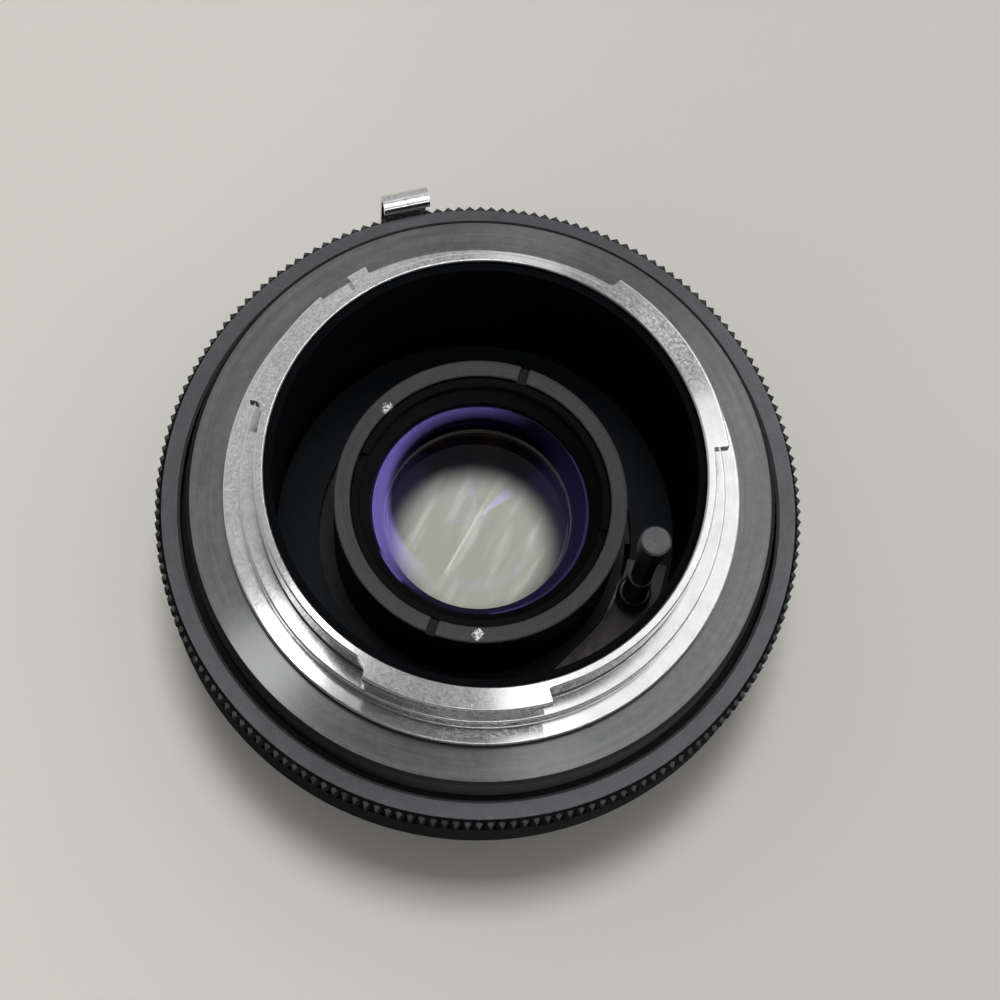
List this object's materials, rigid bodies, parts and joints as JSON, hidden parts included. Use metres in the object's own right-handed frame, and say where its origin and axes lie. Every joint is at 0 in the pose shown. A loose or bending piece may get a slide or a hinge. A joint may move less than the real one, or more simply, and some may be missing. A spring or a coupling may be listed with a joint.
{
  "type": "camera teleconverter",
  "caption": "Lens extender with a male bayonet on the camera side, a female bayonet on the lens side, a central glass cell, a turning knurled coupling ring, a stop-down pin and a lens release.",
  "frame": {"origin": "on the optical axis, in the plane of the lens seat on the front plate", "axes": "+Z along the optical axis towards the camera; +X to the right and +Y up as seen in the picture"},
  "size_m": [0.0654, 0.0665, 0.0341],
  "materials": {
    "matte_black": "matte black anodised",
    "satin_black": "worn satin black, turned",
    "deep_black": "flat black, anti-reflection",
    "cell_grey": "dark grey anodised, satin",
    "chrome": "bright chrome with fine scratches",
    "steel": "plain steel",
    "bare_steel": "brownish bare steel",
    "pin_black": "blackened steel",
    "index_red": "gloss red",
    "glass": "clear, coated"
  },
  "bodies": {
    "barrel": {"main_barrel": "matte_black", "rear_cover": "satin_black", "rear_bayonet": "chrome", "rear_bayonet_screws": "steel", "chamber_sleeve": "deep_black", "optical_cell": "cell_grey", "rear_retaining_ring": "matte_black", "rear_element": "glass", "doublet_front_element": "glass", "second_element": "glass", "front_spacer": "deep_black", "front_element": "glass", "front_retaining_ring": "matte_black", "front_bayonet": "chrome", "front_bayonet_screws": "steel", "bayonet_springs": "steel", "lens_index_bead": "index_red", "coupling_spring": "steel", "coupling_spring_post": "steel", "stop_down_spring": "steel", "stop_down_spring_post": "steel", "lock_spring": "steel"},
    "coupling": {"coupling_ring": "matte_black", "coupling_lug": "chrome", "lug_rivets": "steel", "coupling_follower": "steel", "follower_screws": "steel", "coupling_guide_screws": "steel", "coupling_drive_pin": "steel"},
    "stop_down": {"stop_down_ring": "deep_black", "pin_arm": "bare_steel", "arm_rivets": "steel", "stop_down_pin": "pin_black", "stop_down_lever": "bare_steel"},
    "release": {"release_slide": "deep_black", "release_button": "chrome", "lock_pin": "steel"}
  },
  "joints": [
    {"name": "coupling_turn", "type": "hinge", "parent": "barrel", "child": "coupling", "pos_m": [0, 0, 0.0167], "axis": [0, 0, 1], "range_deg": [0, 55], "stiffness_Nm_per_rad": 0.012, "deforming": ["coupling_spring"]},
    {"name": "stop_down_turn", "type": "hinge", "parent": "barrel", "child": "stop_down", "pos_m": [0, 0, 0.0106], "axis": [0, 0, 1], "range_deg": [0, 28], "stiffness_Nm_per_rad": 0.006, "deforming": ["stop_down_spring"]},
    {"name": "release_slide", "type": "slide", "parent": "barrel", "child": "release", "axis": [0, 0, 1], "range_m": [0, 0.0018], "stiffness_N_per_m": 400, "deforming": ["lock_spring"]}
  ]
}
